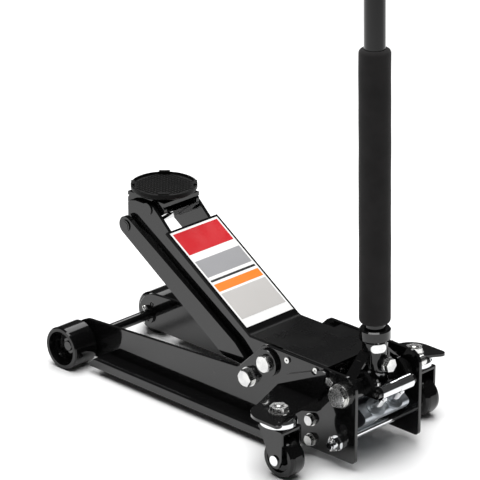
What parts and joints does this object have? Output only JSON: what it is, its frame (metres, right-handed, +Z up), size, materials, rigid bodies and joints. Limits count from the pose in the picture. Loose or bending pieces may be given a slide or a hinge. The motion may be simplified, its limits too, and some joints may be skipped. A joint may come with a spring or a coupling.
{
  "type": "hydraulic trolley jack",
  "caption": "Low-profile hydraulic trolley jack in gloss black with a lifting arm, turning saddle, front rollers, swivel casters and a foam-gripped pump handle.",
  "frame": {"origin": "centre of the footprint on the floor", "axes": "+X towards the handle end, +Y across to the right of someone facing the jack from the handle end, +Z up"},
  "size_m": [0.6416, 0.374, 1.0801],
  "materials": {
    "gloss_black_paint": "high gloss black enamel",
    "satin_black_paint": "satin black powder coat",
    "gloss_black_wheel": "gloss black, turned",
    "zinc_steel": "bright zinc plate",
    "bright_chrome": "polished",
    "silver_casting": "satin machined silver",
    "dark_cast_iron": "knurled, oiled black",
    "black_foam": "matte closed-cell foam",
    "black_rubber": "matte",
    "printed_label": "printed film with plain colour blocks",
    "plain_tag": "satin",
    "spring_steel": "dark wire"
  },
  "bodies": {
    "chassis": {"left_side_plate": "gloss_black_paint", "right_side_plate": "gloss_black_paint", "front_axle": "gloss_black_paint", "axle_washers": "gloss_black_paint", "arm_pivot_shaft": "zinc_steel", "pivot_collars": "gloss_black_paint", "link_pivot_bolts": "zinc_steel", "link_pivot_washers": "zinc_steel", "rear_cover": "satin_black_paint", "cover_screws": "zinc_steel", "tie_rod": "bright_chrome", "split_pins": "zinc_steel", "base_bolts": "zinc_steel", "caster_bracket_left": "gloss_black_paint", "caster_bracket_right": "gloss_black_paint", "kingpins": "zinc_steel", "pump_block": "silver_casting", "plunger_glands": "silver_casting", "ram_cylinder": "silver_casting", "reservoir_tank": "gloss_black_paint", "filler_plug": "zinc_steel", "handle_pivot_bolts": "zinc_steel"},
    "front_wheel_left": {"front_roller_left": "gloss_black_wheel"},
    "front_wheel_right": {"front_roller_right": "gloss_black_wheel"},
    "lift_arm": {"arm_side_left": "gloss_black_paint", "arm_side_right": "gloss_black_paint", "arm_top_plate": "satin_black_paint", "decal_plate": "printed_label", "arm_hub": "gloss_black_paint", "arm_cross_bar": "gloss_black_paint", "crank_pin": "zinc_steel", "saddle_pivot_pins": "gloss_black_paint"},
    "levelling_links": {"left_link": "gloss_black_paint", "right_link": "gloss_black_paint"},
    "carrier": {"saddle_carrier": "gloss_black_paint", "link_top_pin": "gloss_black_paint"},
    "saddle_body": {"saddle": "dark_cast_iron", "saddle_retainer": "zinc_steel"},
    "ram": {"ram_rod": "bright_chrome", "crosshead": "zinc_steel", "return_springs": "spring_steel"},
    "caster_left": {"caster_race_left": "bright_chrome", "caster_fork_left": "gloss_black_paint"},
    "caster_right": {"caster_race_right": "bright_chrome", "caster_fork_right": "gloss_black_paint"},
    "wheel_left": {"caster_wheel_left": "gloss_black_wheel"},
    "wheel_right": {"caster_wheel_right": "gloss_black_wheel"},
    "socket": {"handle_socket": "gloss_black_paint", "socket_collar": "gloss_black_paint", "clamp_bolt": "zinc_steel", "socket_tag": "plain_tag", "roller_pin": "zinc_steel"},
    "pump_roller_body": {"pump_roller": "bright_chrome"},
    "handle": {"handle_tube": "gloss_black_paint", "foam_grip": "black_foam", "handle_end_cap": "black_rubber", "release_driver": "zinc_steel"},
    "release_valve": {"release_spindle": "zinc_steel"},
    "plunger_left_body": {"plunger_left": "bright_chrome"},
    "plunger_right_body": {"plunger_right": "bright_chrome"}
  },
  "joints": [
    {"name": "front_wheel_left_spin", "type": "hinge", "parent": "chassis", "child": "front_wheel_left", "pos_m": [-0.28582, -0.0996, 0.035], "axis": [0, 1, 0], "continuous": true},
    {"name": "front_wheel_right_spin", "type": "hinge", "parent": "chassis", "child": "front_wheel_right", "pos_m": [-0.28582, 0.0996, 0.035], "axis": [0, 1, 0], "continuous": true},
    {"name": "lift_arm_pivot", "type": "hinge", "parent": "chassis", "child": "lift_arm", "pos_m": [0.12118, 0, 0.124], "axis": [0, 1, 0], "range_deg": [-39.5, 14]},
    {"name": "link_pivot", "type": "hinge", "parent": "chassis", "child": "levelling_links", "pos_m": [0.08318, 0, 0.089], "axis": [0, 1, 0], "range_deg": [-39.5, 14]},
    {"name": "carrier_pivot", "type": "hinge", "parent": "lift_arm", "child": "carrier", "pos_m": [-0.16582, 0, 0.284], "axis": [0, 1, 0], "range_deg": [-14, 39.5]},
    {"name": "saddle_swivel", "type": "hinge", "parent": "carrier", "child": "saddle_body", "pos_m": [-0.17582, 0, 0.3], "axis": [0, 0, 1], "continuous": true},
    {"name": "ram_stroke", "type": "slide", "parent": "chassis", "child": "ram", "axis": [-1, 0, 0], "range_m": [-0.0305, 0.0112], "deforming": ["return_springs"]},
    {"name": "caster_left_swivel", "type": "hinge", "parent": "chassis", "child": "caster_left", "pos_m": [0.21718, -0.1495, 0.085], "axis": [0, 0, 1], "continuous": true},
    {"name": "caster_right_swivel", "type": "hinge", "parent": "chassis", "child": "caster_right", "pos_m": [0.21718, 0.1495, 0.085], "axis": [0, 0, 1], "continuous": true},
    {"name": "wheel_left_spin", "type": "hinge", "parent": "caster_left", "child": "wheel_left", "pos_m": [0.22918, -0.1495, 0.031], "axis": [0, 1, 0], "continuous": true},
    {"name": "wheel_right_spin", "type": "hinge", "parent": "caster_right", "child": "wheel_right", "pos_m": [0.22918, 0.1495, 0.031], "axis": [0, 1, 0], "continuous": true},
    {"name": "handle_pump", "type": "hinge", "parent": "chassis", "child": "socket", "pos_m": [0.27168, 0, 0.1184], "axis": [0, 1, 0], "range_deg": [0, 38]},
    {"name": "pump_roller_spin", "type": "hinge", "parent": "socket", "child": "pump_roller_body", "pos_m": [0.30962, 0, 0.12039], "axis": [0, 1, 0], "continuous": true},
    {"name": "handle_twist", "type": "hinge", "parent": "socket", "child": "handle", "pos_m": [0.27168, 0, 0.1184], "axis": [-0.0223, 0, 0.9998], "range_deg": [0, 90]},
    {"name": "release_turn", "type": "hinge", "parent": "chassis", "child": "release_valve", "pos_m": [0.27168, 0, 0.1184], "axis": [-0.0223, 0, 0.9998], "range_deg": [0, 90]},
    {"name": "plunger_left_stroke", "type": "slide", "parent": "chassis", "child": "plunger_left_body", "axis": [-0.5736, 0, -0.8192], "range_m": [0, 0.0236]},
    {"name": "plunger_right_stroke", "type": "slide", "parent": "chassis", "child": "plunger_right_body", "axis": [-0.5736, 0, -0.8192], "range_m": [0, 0.0236]}
  ],
  "couplings": [
    {"joint": "link_pivot", "follows": "lift_arm_pivot", "ratio": 1},
    {"joint": "carrier_pivot", "follows": "lift_arm_pivot", "ratio": -1},
    {"joint": "ram_stroke", "follows": "lift_arm_pivot", "m_per_rad": 0.04326},
    {"joint": "plunger_left_stroke", "follows": "handle_pump", "m_per_rad": 0.0353},
    {"joint": "plunger_right_stroke", "follows": "handle_pump", "m_per_rad": 0.0353},
    {"joint": "release_turn", "follows": "handle_twist", "ratio": 1}
  ]
}
